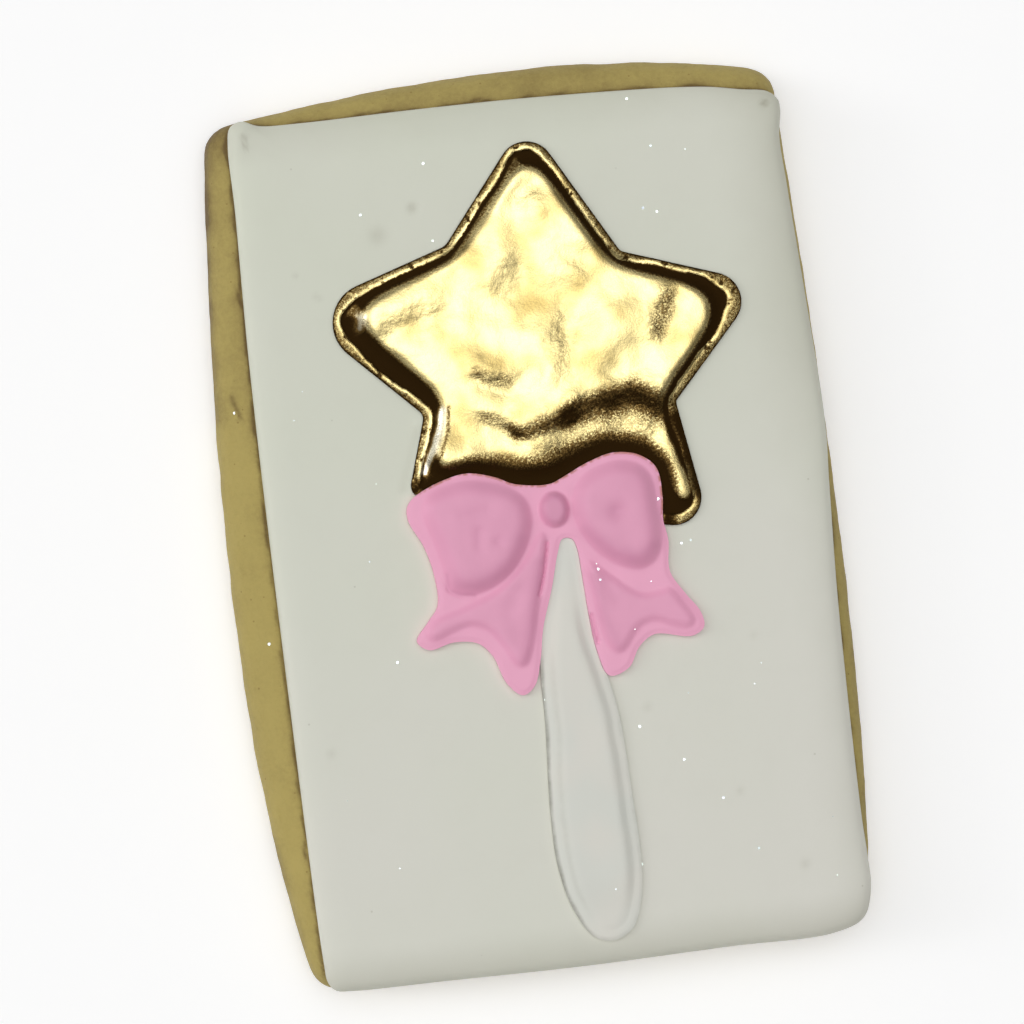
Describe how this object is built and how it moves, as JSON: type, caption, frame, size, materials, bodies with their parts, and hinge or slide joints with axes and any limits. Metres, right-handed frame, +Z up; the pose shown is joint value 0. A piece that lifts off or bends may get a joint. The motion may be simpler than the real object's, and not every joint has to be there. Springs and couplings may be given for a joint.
{
  "type": "iced sugar cookie",
  "caption": "Card-shaped sugar cookie under a white rolled icing sheet, topped with a raised wand: gold star, pink bow and white stick.",
  "frame": {"origin": "on the underside, below the middle of the dough's outline", "axes": "+Y along the long side towards the star, +Z up out of the iced face, +X to the right of the design seen from above"},
  "size_m": [0.0643, 0.0937, 0.0108],
  "materials": {
    "dough": "matte baked sugar dough, pale gold with a browner rim",
    "white_icing": "smooth matt rolled icing with tiny pits and a few glitter specks",
    "gold_paint": "brushed metallic gold lustre on moulded icing, gently dented",
    "pink_icing": "smooth matt pink moulded icing",
    "stick_icing": "smooth matt white moulded icing"
  },
  "bodies": {
    "root": {"cookie_base": "dough", "icing_sheet": "white_icing", "star": "gold_paint", "bow": "pink_icing", "wand_stick": "stick_icing"}
  },
  "joints": []
}
